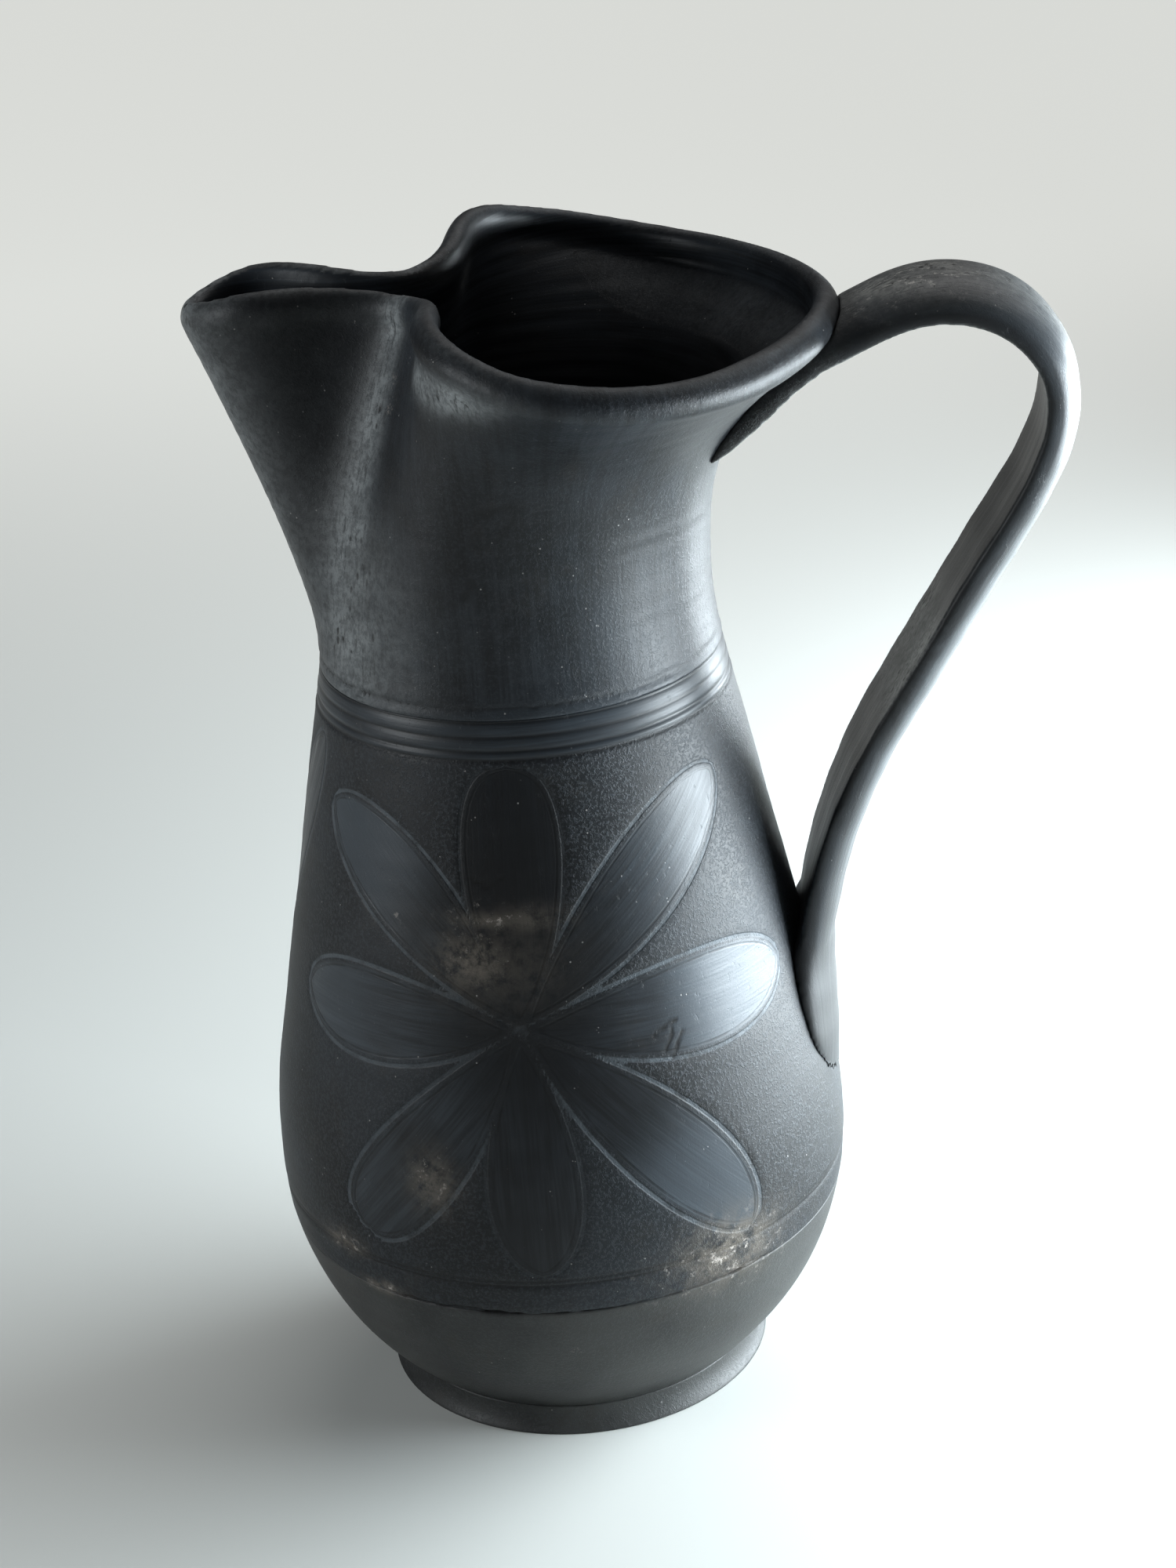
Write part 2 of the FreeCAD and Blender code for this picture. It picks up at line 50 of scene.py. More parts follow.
plainSurface = {
    "tone": 0.0,    # 1 burnished pale and painted highlight, -1 dark and painted shade
    "rough": 0.0,   # 0 burnished, 1 bare
    "wear": 0.0,    # 1 rubbed pale and painted highlight
    "line": 0.0,    # -1 in a turned line or a crack
    "edge": -9.0,   # mm inside a petal's outline
    "bloom": 0.0,   # brown marks of the fire
    "chalk": 0.0,   # white marks
}


def deselectAll():
    if bpy.context.object and bpy.context.object.mode != "OBJECT":
        bpy.ops.object.mode_set(mode="OBJECT")
    bpy.ops.object.select_all(action="DESELECT")


def corners(mesh, field="co"):
    flat = np.empty(len(mesh.vertices) * 3)
    mesh.vertices.foreach_get(field, flat)
    return flat.reshape(-1, 3)


def moveCorners(piece, places):
    piece.data.vertices.foreach_set("co", places.ravel())
    piece.data.update()


def keep(piece, name, values):
    # one number for all corners, one for each, or three for each
    values = np.asarray(values, dtype=np.float32)
    if values.ndim == 0:
        values = np.full(len(piece.data.vertices), values)
    kind, field = ("FLOAT_VECTOR", "vector") if values.ndim == 2 else ("FLOAT", "value")
    layer = piece.data.attributes.new(name, kind, "POINT")
    layer.data.foreach_set(field, values.ravel())


def dress(piece, across, along, **surface):
    # places across and along the burnishing strokes in mm, and the surface where it isn't plain
    keep(piece, "stroke", np.column_stack((across, along, np.zeros(len(across)))) * mm)
    for name, values in {**plainSurface, **surface}.items():
        keep(piece, name, values)


def settle(piece, finish, nodes):
    piece.data.materials.clear()
    piece.data.materials.append(finish)
    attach(piece, "root")
    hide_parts(*nodes)
    print(piece.name, len(piece.data.polygons), "faces")


# Sums on corners: angles, masks and the hand's unevenness

levelRings = np.array((0.1, 0.1, 1.0))  # squeezes places, so that waves run level round the jug


def angleRound(places):
    # degrees round the axis, with the handle at 0 and the spout at 180
    return np.degrees(np.arctan2(places[:, 1], places[:, 0]))


def fromAxis(places):
    return np.hypot(places[:, 0], places[:, 1])


def outwardness(places, facing):
    # 1 where the surface faces away from the axis, -1 where it faces the axis
    radial = facing[:, 0] * places[:, 0] + facing[:, 1] * places[:, 1]
    return radial / np.maximum(fromAxis(places), 0.01)


def smoothStep(low, high, value):
    share = np.clip((value - low) / (high - low), 0, 1)
    return share * share * (3 - 2 * share)


def ridge(value, width):
    return np.exp(-(value / width) ** 2)


def wander(places, seed, longest, shortest, amount, waves=7):
    # smooth wandering between about -amount and amount; the dictionaries hold such rows,
    # each a seed, the longest and the shortest wave in mm, and the amount
    draw = np.random.default_rng(seed)
    total = np.zeros(len(places))
    for step in range(waves):
        direction = draw.normal(size=3)
        direction /= np.linalg.norm(direction)
        length = longest * (shortest / longest) ** (step / (waves - 1))
        total += np.sin(places @ direction * 2 * math.pi / length + draw.uniform(0, 6.28))
    return total / math.sqrt(waves) * amount


def patchy(places, seed, longest, shortest, amount):
    # a strength that wanders below 1
    return 1 - amount + wander(places, seed, longest, shortest, amount)


# Sections and skins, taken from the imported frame

making = {
    "profileFacing": 0.25,   # how squarely the corners of a profile face outwards or inwards
    "spunMerge": 0.004,      # mm within which corners are merged
    "skinMerge": 0.01,
    "skinSoftening": 0.5,
}


def turnedProfile(node, side):
    # the frame's corners that face outwards (side 1) or inwards (side -1), from low to high
    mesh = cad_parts[node].data
    places = corners(mesh) / mm
    radius = fromAxis(places)
    chosen = outwardness(places, corners(mesh, "normal")) * side > making["profileFacing"]
    pairs = np.unique(np.round(np.column_stack((places[chosen, 2], radius[chosen])), 2), axis=0)
    levels = np.unique(pairs[:, 0])
    return levels, np.array([pairs[pairs[:, 0] == level, 1].mean() for level in levels])


def softened(values, passes):
    values = np.array(values, dtype=float)
    for turn in range(passes):
        values[1:-1] = values[1:-1] * 0.5 + (values[:-2] + values[2:]) * 0.25
    return values


def levelRow(start, end, count, height):
    # points of a section at one height, from one radius to another
    return np.column_stack((np.linspace(start, end, count), np.full(count, height)))


def spun(name, section, steps, closed):
    deselectAll()
    bpy.ops.mesh.primitive_circle_add(vertices=len(section), radius=1)
    piece = bpy.context.object
    piece.name = name
    flat = np.zeros((len(section), 3))
    flat[:, 0] = section[:, 0] * mm
    flat[:, 2] = section[:, 1] * mm
    moveCorners(piece, flat)
    bpy.ops.object.mode_set(mode="EDIT")
    if not closed:
        bpy.ops.mesh.select_all(action="DESELECT")
        bpy.ops.object.mode_set(mode="OBJECT")
        last = len(section) - 1
        for edge in piece.data.edges:
            edge.select = set(edge.vertices) == {0, last}
        bpy.ops.object.mode_set(mode="EDIT")
        bpy.ops.mesh.select_mode(type="EDGE")
        bpy.ops.mesh.delete(type="EDGE_FACE")
        bpy.ops.mesh.select_mode(type="VERT")
    bpy.ops.mesh.select_all(action="SELECT")
    bpy.ops.mesh.spin(steps=steps, angle=2 * math.pi, center=(0, 0, 0), axis=(0, 0, 1))
    bpy.ops.mesh.select_all(action="SELECT")
    bpy.ops.mesh.remove_doubles(threshold=making["spunMerge"] * mm)
    bpy.ops.mesh.normals_make_consistent(inside=False)
    bpy.ops.object.mode_set(mode="OBJECT")
    bpy.ops.object.shade_smooth()
    return piece


def claySkin(name, nodes, detail, passes):
    # copies of frame nodes under one even, slightly softened skin
    deselectAll()
    for node in nodes:
        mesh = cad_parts[node].data.copy()
        mesh.materials.clear()
        piece = bpy.data.objects.new(name, mesh)
        bpy.context.collection.objects.link(piece)
        piece.select_set(True)
        bpy.context.view_layer.objects.active = piece
    bpy.ops.object.join()
    piece = bpy.context.object
    piece.name = name
    bpy.ops.object.mode_set(mode="EDIT")
    bpy.ops.mesh.select_all(action="SELECT")
    bpy.ops.mesh.remove_doubles(threshold=making["skinMerge"] * mm)
    bpy.ops.object.mode_set(mode="OBJECT")
    skin = piece.modifiers.new("skin", "REMESH")
    skin.mode = "VOXEL"
    skin.voxel_size = detail * mm
    bpy.ops.object.modifier_apply(modifier="skin")
    soft = piece.modifiers.new("soft", "SMOOTH")
    soft.factor = making["skinSoftening"]
    soft.iterations = passes
    bpy.ops.object.modifier_apply(modifier="soft")
    bpy.ops.object.shade_smooth()
    return piece


# Shader values

class Value:
    # a socket that adds its own Math nodes
    def __init__(self, finish, socket):
        self.finish = finish
        self.socket = socket

    def maths(self, operation, first, second=0.0):
        return self.finish.node("ShaderNodeMath", {"operation": operation}, {0: first, 1: second})

    def __add__(self, other):
        return self.maths("ADD", self, other)

    __radd__ = __add__

    def __sub__(self, other):
        return self.maths("SUBTRACT", self, other)

    def __rsub__(self, other):
        return self.maths("SUBTRACT", other, self)

    def __mul__(self, other):
        return self.maths("MULTIPLY", self, other)

    __rmul__ = __mul__

    def __abs__(self):
        return self.maths("ABSOLUTE", self)


class Finish:
    def __init__(self, name):
        self.material = bpy.data.materials.new(name)
        self.material.use_nodes = True
        self.tree = self.material.node_tree
        self.tree.nodes.clear()

    def node(self, kind, settings=None, sockets=None, output=0):
        made = self.tree.nodes.new(kind)
        for name, setting in (settings or {}).items():
            setattr(made, name, setting)
        for name, given in (sockets or {}).items():
            if isinstance(given, Value):
                self.tree.links.new(given.socket, made.inputs[name])
            else:
                made.inputs[name].default_value = given
        return Value(self, made.outputs[output]) if len(made.outputs) else None

    def stored(self, name, output="Fac"):
        return self.node("ShaderNodeAttribute", {"attribute_name": name}, output=output)

    def stretched(self, vector, scale):
        return self.node("ShaderNodeMapping", {"vector_type": "POINT"}, {"Vector": vector, "Scale": scale})

    def noise(self, vector, scale, detail, roughness):
        sockets = {"Vector": vector, "Scale": scale, "Detail": detail, "Roughness": roughness}
        return self.node("ShaderNodeTexNoise", None, sockets)

    def step(self, value, low, high):
        sockets = {"Value": value, "From Min": low, "From Max": high}
        return self.node("ShaderNodeMapRange", {"interpolation_type": "SMOOTHSTEP"}, sockets)

    def patches(self, vector, scale, detail, roughness, low, high):
        return self.step(self.noise(vector, scale, detail, roughness), low, high)

    def dots(self, vector, scale, rim, full):
        cells = self.node("ShaderNodeTexVoronoi", {"feature": "F1"}, {"Vector": vector, "Scale": scale})
        return self.step(cells, rim, full)

    def blend(self, share, first, second):
        # a colour between two, each three numbers or a link
        ends = [end if isinstance(end, Value) else (*end, 1) for end in (first, second)]
        settings = {"data_type": "RGBA", "clamp_factor": True}
        return self.node("ShaderNodeMix", settings, {0: share, 6: ends[0], 7: ends[1]}, 2)


# Clay finishes: what the three share, and then the look of each

clay = {
    # noise: how many to a metre, detail and roughness
    "clouds": (17.0, 4.0, 0.6),
    "grain": (2600.0, 2.0, 0.7),
    "fine": (1.0, 2.0, 0.55),
    "broad": (1.0, 3.0, 0.55),
    # noise cut to patches: the same, and the levels where a patch begins and is full
    "smoke": (75.0, 5.0, 0.7, 0.52, 0.74),
    "sand": (1150.0, 3.0, 0.8, 0.46, 0.66),
    "rubbed": (520.0, 5.0, 0.75, 0.38, 0.60),
    "pits": (640.0, 5.0, 0.75, 0.60, 0.72),
    "speckled": (260.0, 2.0, 0.55, 0.61, 0.70),
    "dotted": (170.0, 2.0, 0.55, 0.47, 0.58),
    "torn": (1.0, 4.0, 0.7, 0.54, 0.62),
    "uneven": (160.0, 3.0, 0.6, 0.30, 0.60),
    "mottle": (230.0, 5.0, 0.75, 0.30, 0.62),
    "scuff": (330.0, 6.0, 0.8, 0.56, 0.66),
    # dots: how many to a metre, and the distances where one begins and is full
    "specks": (620.0, 0.17, 0.07),
    "dots": (430.0, 0.34, 0.18),
    # stretching across and along the strokes, or of places
    "fineStretch": (1700, 60, 1),
    "broadStretch": (420, 26, 1),
    "tornStretch": (1000, 130, 1),
    "pitStretch": (1, 1, 0.45),
    "dotStretch": (1, 1, 0.6),
    # the levels where each begins and is full
    "strokes": (0.36, 0.66),
    "bare": (0.08, 0.40),
    "shiny": (0.40, 0.62),
    "lighter": (0.40, 0.66),
    # mm from a petal's edge where its outline begins and is full, and the fine line inside it
    "outline": (0.72, 0.28),
    "inset": 2.0,
    "insetLine": (0.45, 0.10),
    # least strength, and what its patches add
    "shineShares": (0.35, 0.65),
    "wearShares": (0.45, 0.50),
    "outlineShares": (0.3, 0.7),
    # strengths
    "fineShare": 0.45,
    "broadShare": 0.55,
    "paleTone": 0.9,
    "darkTone": 0.8,
    "tornShare": 0.6,
    "insetShare": 0.6,
    "speckShare": 0.8,
    # what dulls the clay, and the roughness that it keeps between
    "dulling": {"rough": 0.12, "grain": 0.10, "clouds": 0.10, "tone": -0.05},
    "roughnesses": (0.16, 0.95),
    # heights as shares of the finish's relief
    "heights": {
        "grain": 0.3, "sand": 0.8, "scoring": 0.5, "pits": -0.4, "dots": -2.0,
        "torn": -1.0, "specks": -1.2, "line": 0.8, "outline": -1.6, "insetLine": -0.5,
    },
    "bumpStrength": 0.55,
}

paleMarks = {"bloom": (0.125, 0.108, 0.090), "chalk": (0.42, 0.38, 0.345)}

finishes = {
    "burnished": {
        "dark": (0.0036, 0.0040, 0.0050), "light": (0.0125, 0.0150, 0.0185),
        "warm": (0.016, 0.014, 0.012), "burnished": (0.052, 0.063, 0.075),
        "wornAndSheen": (0.200, 0.215, 0.220), "line": (0.075, 0.088, 0.100),
        "deep": (0.0025, 0.0025, 0.003), "speck": (0.30, 0.29, 0.28), **paleMarks,
        "warmth": 0.5, "strokes": 0.50, "sand": 0.30, "polish": 0.12,
        "roughness": 0.34, "relief": 0.13, "gloss": 1.34,
    },
    "smoked": {
        "dark": (0.0140, 0.0142, 0.0140), "light": (0.038, 0.0385, 0.0365),
        "warm": (0.026, 0.023, 0.019), "burnished": (0.046, 0.050, 0.052),
        "wornAndSheen": (0.07, 0.072, 0.07), "line": (0.05, 0.05, 0.05),
        "deep": (0.0025, 0.0025, 0.003), "speck": (0.26, 0.25, 0.24), **paleMarks,
        "warmth": 0.7, "strokes": 0.60, "sand": 0.35, "polish": 0.08,
        "roughness": 0.36, "relief": 0.12, "gloss": 1.36,
    },
    "luted": {
        "dark": (0.0075, 0.0078, 0.0088), "light": (0.017, 0.0185, 0.021),
        "warm": (0.020, 0.018, 0.016), "burnished": (0.062, 0.071, 0.080),
        "wornAndSheen": (0.290, 0.295, 0.280), "line": (0.05, 0.05, 0.06),
        "deep": (0.003, 0.003, 0.003), "speck": (0.22, 0.21, 0.20),
        "bloom": (0.10, 0.08, 0.06), "chalk": (0.62, 0.60, 0.56),
        "warmth": 0.4, "strokes": 0.55, "sand": 0.30, "polish": 0.10,
        "roughness": 0.34, "relief": 0.18, "gloss": 1.40,
    },
}


def atLeast(shares, mask):
    least, more = shares
    return least + mask * more


def clayPatterns(f):
    # what each corner stores, and the patterns, most of them between 0 and 1
    place = f.node("ShaderNodeTexCoord", output="Object")
    stroke = f.stored("stroke", "Vector")
    p = SimpleNamespace(**{name: f.stored(name) for name in (*plainSurface, "pressed")})
    p.fine = f.noise(f.stretched(stroke, clay["fineStretch"]), *clay["fine"])
    p.broad = f.noise(f.stretched(stroke, clay["broadStretch"]), *clay["broad"])
    mixed = p.fine * clay["fineShare"] + p.broad * clay["broadShare"]
    p.strokes = f.step(mixed, *clay["strokes"])
    p.clouds = f.noise(place, *clay["clouds"])
    p.grain = f.noise(place, *clay["grain"])
    p.burnished = 1 - f.step(p.rough, *clay["bare"])
    p.scoring = (p.fine + p.broad) * p.burnished
    shiny = f.step(p.clouds, *clay["shiny"])
    p.shine = p.strokes * p.burnished * atLeast(clay["shineShares"], shiny)
    p.sand = f.patches(place, *clay["sand"]) * (1 - p.burnished)
    p.pits = f.patches(f.stretched(place, clay["pitStretch"]), *clay["pits"])
    p.specks = f.dots(place, *clay["specks"]) * f.patches(place, *clay["speckled"])
    dots = f.dots(f.stretched(place, clay["dotStretch"]), *clay["dots"])
    p.dots = dots * f.patches(place, *clay["dotted"]) * p.wear
    p.torn = f.patches(f.stretched(stroke, clay["tornStretch"]), *clay["torn"]) * p.wear
    p.outline = f.step(abs(p.edge), *clay["outline"])
    p.insetLine = f.step(abs(p.edge - clay["inset"]), *clay["insetLine"])
    for name in ("smoke", "rubbed", "uneven", "mottle", "scuff"):
        setattr(p, name, f.patches(place, *clay[name]))
    return p


def clayTint(f, look, p):
    # colours laid over each other, each as strong as its mask
    layers = [
        (p.smoke * look["warmth"], "warm"),
        (p.sand * look["sand"], "burnished"),
        (p.shine * look["strokes"], "burnished"),
        # tone above 0 lays the pale colour: burnished bands, and painted highlights on petals, neck and
        # handle; tone below 0 lays painted shade
        (f.step(p.tone, 0, 1) * clay["paleTone"], "burnished"),
        (f.step(p.tone, 0, -1) * clay["darkTone"], "dark"),
        # rubbed wear, and painted highlights on the neck, the lip's crown and the handle's crest
        (p.wear * atLeast(clay["wearShares"], p.rubbed), "wornAndSheen"),
        (p.dots + p.torn * clay["tornShare"], "deep"),
        # petal outlines are paler where their petal has painted highlight, and fade in the painted shade of
        # the flower's middle
        (p.outline * p.pressed * atLeast(clay["outlineShares"], p.uneven), "line"),
        (p.insetLine * p.uneven * clay["insetShare"], "deep"),
        (f.step(p.line, 0, -1), "deep"),
        (p.bloom * p.mottle, "bloom"),
        (p.chalk * p.scuff, "chalk"),
        (p.specks * clay["speckShare"], "speck"),
    ]
    tint = f.blend(f.step(p.clouds, *clay["lighter"]), look["dark"], look["light"])
    for mask, colour in layers:
        tint = f.blend(mask, tint, look[colour])
    return tint


def weighed(p, shares):
    return sum(getattr(p, name) * share for name, share in shares.items())


def clayRoughness(f, look, p):
    dull = weighed(p, clay["dulling"]) - p.shine * look["polish"] + look["roughness"]
    low, high = clay["roughnesses"]
    return f.node("ShaderNodeClamp", None, {"Value": dull, "Min": low, "Max": high})


def clayBump(f, look, p):
    height = weighed(p, clay["heights"])
    sockets = {"Strength": clay["bumpStrength"], "Distance": look["relief"] * mm, "Height": height}
    return f.node("ShaderNodeBump", None, sockets)


def clayFinish(name, look):
    f = Finish(name)
    p = clayPatterns(f)
    shader = f.node("ShaderNodeBsdfPrincipled", None, {
        "Base Color": clayTint(f, look, p),
        "Roughness": clayRoughness(f, look, p),
        "Normal": clayBump(f, look, p),
        "IOR": look["gloss"],
    })
    f.node("ShaderNodeOutputMaterial", None, {"Surface": shader})
    return f.material


# Ornament and marks

flower = {
    # each petal: its tip across and up from the middle, half width and bend in mm, blunt or not, and tone,
    # which is painted highlight above 0 and painted shade below
    "petals": [
        (0.8, 62.0, 14.5, 0.0, True, -0.9),
        (-61.2, 47.5, 12.0, -5.6, False, 0.70),
        (-68.0, -1.0, 11.8, 0.0, False, 0.60),
        (-42.0, -55.0, 11.5, 0.0, True, 0.25),
        (1.5, -62.5, 10.8, 0.0, False, -0.60),
        (51.6, -61.0, 11.0, 3.0, False, 0.65),
        (77.7, -2.5, 12.2, 0.0, False, 1.0),
        (68.0, 50.0, 11.5, 3.5, False, 0.40),
    ],
    "angle": -91.0,
    "height": 124.0,
    "radius": 65.0,
    # the petals under the spout, each after the height that it grows from
    "sprig": [
        (125.0, 28.8, 59.0, 9.5, 2.0, False, 0.2),
        (121.0, 0.0, 56.0, 8.0, 0.0, False, -0.4),
    ],
    # how fast a petal widens from its root and narrows to its tip
    "blunt": (0.8, 0.35),
    "sharp": (0.9, 0.55),
    "endGap": 0.004,   # keeps the ends of a petal off 0 and 1
    # where along a petal its tone, painted highlight and painted shade, begins and is full, and its
    # outline's strength with its tone's share
    "toneReach": (0.15, 0.75),
    "pressed": (0.42, 0.5),
    "lineWidth": 1.0,
    "lineDepth": 0.20,
    "petalDepth": 0.22,
    "petalRim": 2.5,
    "middleShadeWidth": 30.0,
    "middleShadeFading": 0.7,
}

bands = {
    # height and depth of each line
    "upper": [(187.3, 0.24), (189.3, 0.30), (192.5, 0.14), (196.0, 0.26), (199.0, 0.30)],
    "lower": [(60.4, 0.16), (59.0, 0.34)],
    "width": 0.55,
    "wobble": (31, 150, 40, 0.16),   # wandering, as in the rows below and on the pieces
    # the torn seam: its height, the angles where it begins and ends, and how it strays
    "crackHeight": 51.0,
    "crackWidth": 0.42,
    "crackDepth": 0.5,
    "crackStart": (-128, -120),
    "crackEnd": (-38, -48),
    "crackPath": (7, 24, 3, 0.50),
    "crackBreaks": (9, 30, 6, 2.0),
    "crackThinning": 0.25,
}

marks = {
    # angle, height, half width, half height, strength
    "bloom": [
        (-101, 140, 8, 6, 1.0), (-88, 150, 9, 3, 0.5), (-111, 85, 6, 7, 0.7),
        (-135, 61, 7, 3, 0.7), (-125, 51.5, 6, 2, 0.8), (-52, 58, 14, 9, 1.0),
        (-97, 150, 9, 2, 0.6), (-96, 139, 15, 10, 0.30),
    ],
    "chalk": [
        (-52, 57, 17, 8, 1.0), (-46, 50, 8, 4, 0.8), (-96, 151.5, 7, 2, 1.0),
        (-111, 86, 4, 5, 0.75), (-84, 37, 2, 1.5, 0.9), (-101, 142, 6, 6, 0.5),
        (-135, 61, 6, 2.5, 0.9), (-125, 51.5, 5, 1.2, 1.0), (-60, 117, 3, 1, 0.5),
        (-120, 150, 3, 3, 0.4),
    ],
    # paths of angle and height
    "hairlines": [
        [(-56, 99), (-49, 94), (-47, 88), (-44.5, 78)],
        [(-63, 118), (-57, 120.5)],
        [(-61, 113), (-58.5, 117), (-58, 121)],
        [(-59, 112), (-56, 117)],
        [(-101, 160), (-96, 158), (-93, 160)],
    ],
    "hairlineWidth": 0.52,
    "smudges": [[(-90, 247), (-82, 249.5), (-83, 245), (-86, 242)], [(-98, 226), (-95, 230)]],
    "smudgeWidth": 1.3,
    "smudgeStrength": 0.6,
    "jag": (17, 7, 1.6, 0.25),   # wandering of a scratch
}


def petalField(across, up, tipAcross, tipUp, half, bend, blunt):
    # distance from the petal's outline in mm, less than 0 inside it, and places along and aside
    length = math.hypot(tipAcross, tipUp)
    cosine, sine = tipAcross / length, tipUp / length
    along = across * cosine + up * sine
    aside = up * cosine - across * sine
    rise, fall = flower["blunt"] if blunt else flower["sharp"]
    widest = rise / (rise + fall)
    share = np.clip(along / length, flower["endGap"], 1 - flower["endGap"])
    width = half * (share / widest) ** rise * ((1 - share) / (1 - widest)) ** fall
    slope = width * (rise / share - fall / (1 - share)) / length
    sideways = aside - bend * 4 * share * (1 - share)
    distance = (np.abs(sideways) - width) / np.sqrt(1 + slope ** 2)
    past = np.hypot(np.maximum(along - length, -along), aside)
    outside = (along < 0) | (along > length)
    return np.where(outside, past, distance), along, aside, along / length


def flowerField(places):
    # both sides carry the same flower, and the spout has three petals under it
    near = -np.abs(angleRound(places))
    turn = math.radians(1) * flower["radius"]
    across = (near - flower["angle"]) * turn
    up = places[:, 2] - flower["height"]
    front = (near + 180) * turn
    rows = [(across, up, *petal) for petal in flower["petals"]]
    rows += [(front, places[:, 2] - base, *petal) for base, *petal in flower["sprig"]]
    inside = np.full(len(places), plainSurface["edge"])
    along = up.copy()
    aside = across.copy()
    tone = np.zeros(len(places))
    pressed = np.zeros(len(places))
    plainStrength, toneShare = flower["pressed"]
    for x, y, tipX, tipY, half, bend, blunt, shade in rows:
        distance, alongPetal, asidePetal, share = petalField(x, y, tipX, tipY, half, bend, blunt)
        closer = -distance > inside
        pressed[closer] = plainStrength + toneShare * shade
        fresh = (distance < 0) & closer
        along[fresh] = alongPetal[fresh]
        aside[fresh] = asidePetal[fresh]
        tone[fresh] = (shade * smoothStep(*flower["toneReach"], share))[fresh]
        inside = np.maximum(inside, -distance)
    # painted shade: the middle of the flower is the blackest, and its outlines fade there
    middle = ridge(np.hypot(across, up), flower["middleShadeWidth"])
    return inside, along, aside, tone - middle, pressed * (1 - flower["middleShadeFading"] * middle)


def scratchField(places, paths, width):
    # 1 along each path
    angle = angleRound(places)
    turn = math.radians(1) * fromAxis(places)
    jag = wander(places, *marks["jag"])
    total = np.zeros(len(places))
    for path in paths:
        for (startAngle, start), (endAngle, end) in zip(path[:-1], path[1:]):
            across, up = (angle - startAngle) * turn, places[:, 2] - start
            runAcross, runUp = (endAngle - startAngle) * turn, end - start
            share = np.clip((across * runAcross + up * runUp) / (runAcross ** 2 + runUp ** 2), 0, 1)
            away = np.hypot(across - share * runAcross, up - share * runUp)
            total = np.maximum(total, ridge(away + jag, width))
    return total


def markField(places, rows):
    angle = angleRound(places)
    radius = fromAxis(places)
    total = np.zeros(len(places))
    for atAngle, atHeight, wide, high, strength in rows:
        across = (angle - atAngle) * math.radians(1) * radius
        mark = strength * ridge(across, wide) * ridge(places[:, 2] - atHeight, high)
        total = np.maximum(total, mark)
    return total


def bandField(places, rows):
    # 1 in each line with its depth, and a faint wobble of the hand
    wobble = wander(places, *bands["wobble"])
    total = np.zeros(len(places))
    depth = np.zeros(len(places))
    for height, cut in rows:
        near = ridge(places[:, 2] - height - wobble, bands["width"])
        total = np.maximum(total, near)
        depth += near * cut
    return total, depth


def crackField(places):
    # the torn seam under the lower lines
    angle = angleRound(places)
    run = smoothStep(*bands["crackStart"], angle) * smoothStep(*bands["crackEnd"], angle)
    path = bands["crackHeight"] + wander(places, *bands["crackPath"])
    thinner = bands["crackThinning"] * (1 - np.tanh(wander(places, *bands["crackBreaks"])))
    return ridge(places[:, 2] - path, bands["crackWidth"]) * run * (1 - thinner)


# Foot

foot = {
    "steps": 320,           # round the axis
    "rows": (30, 22, 12),   # under, up the side and on top
    "inset": 0.5,
    "softening": 2,
    "strokeRadius": 50,     # mm at which the strokes round the axis are measured
    "tone": 0.15,
    "rough": 0.3,
    "roughUnder": 0.9,
    "underEdge": 0.4,       # mm above the table
}


def makeFoot(finish):
    low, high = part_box("foot")[0][2] / mm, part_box("foot")[1][2] / mm
    levels, radii = turnedProfile("foot", 1)
    underRows, sideRows, topRows = foot["rows"]
    heights = np.linspace(low, high, sideRows)
    side = np.column_stack((np.interp(heights, levels, radii), heights))
    under = levelRow(0, side[0, 0] - foot["inset"], underRows, low)
    top = levelRow(side[-1, 0] - foot["inset"], 0, topRows, high)
    section = np.vstack((under, side, top))
    rounded = [softened(section[:, way], foot["softening"]) for way in (0, 1)]
    section[1:-1] = np.column_stack(rounded)[1:-1]
    section[:, 1] = np.clip(section[:, 1], low, high)
    piece = spun("foot_ring", section, foot["steps"], closed=False)
    places = corners(piece.data) / mm
    standing = places[:, 2] < low + foot["underEdge"]
    dress(
        piece, places[:, 2], np.radians(angleRound(places)) * foot["strokeRadius"],
        tone=foot["tone"],
        rough=np.where(standing, foot["roughUnder"], foot["rough"]),
    )
    settle(piece, finish, ["foot"])


# Lower bowl

bowl = {
    "steps": 384,
    "sideRows": 48,
    "floorRows": 24,
    "underRows": 8,
    "inset": 1.0,
    "softening": 2,
    "facing": 0.3,                # how squarely the outside faces outwards
    "hand": (3, 160, 35, 0.16),   # the hand's wandering, which fades below the seam
    "handFade": 6,
    "footCover": 3,               # mm that stay true to meet the foot
    "strokeRadius": 60,
    "tone": 0.1,
    "rough": 0.3,
    "roughInside": 0.8,
}


def bowlSection(low, high):
    outer = turnedProfile("lower_bowl", 1)
    inner = turnedProfile("lower_bowl", -1)
    levels = np.linspace(low, high, bowl["sideRows"])
    radii = softened(np.interp(levels, *outer), bowl["softening"])
    inside = np.column_stack((inner[1][::-1], inner[0][::-1]))
    floor = levelRow(inside[-1, 0] - bowl["inset"], 0, bowl["floorRows"], inside[-1, 1])
    under = levelRow(0, radii[0] - bowl["inset"], bowl["underRows"], low)
    return np.vstack((under, np.column_stack((radii, levels)), inside[::2], inside[-1:], floor))


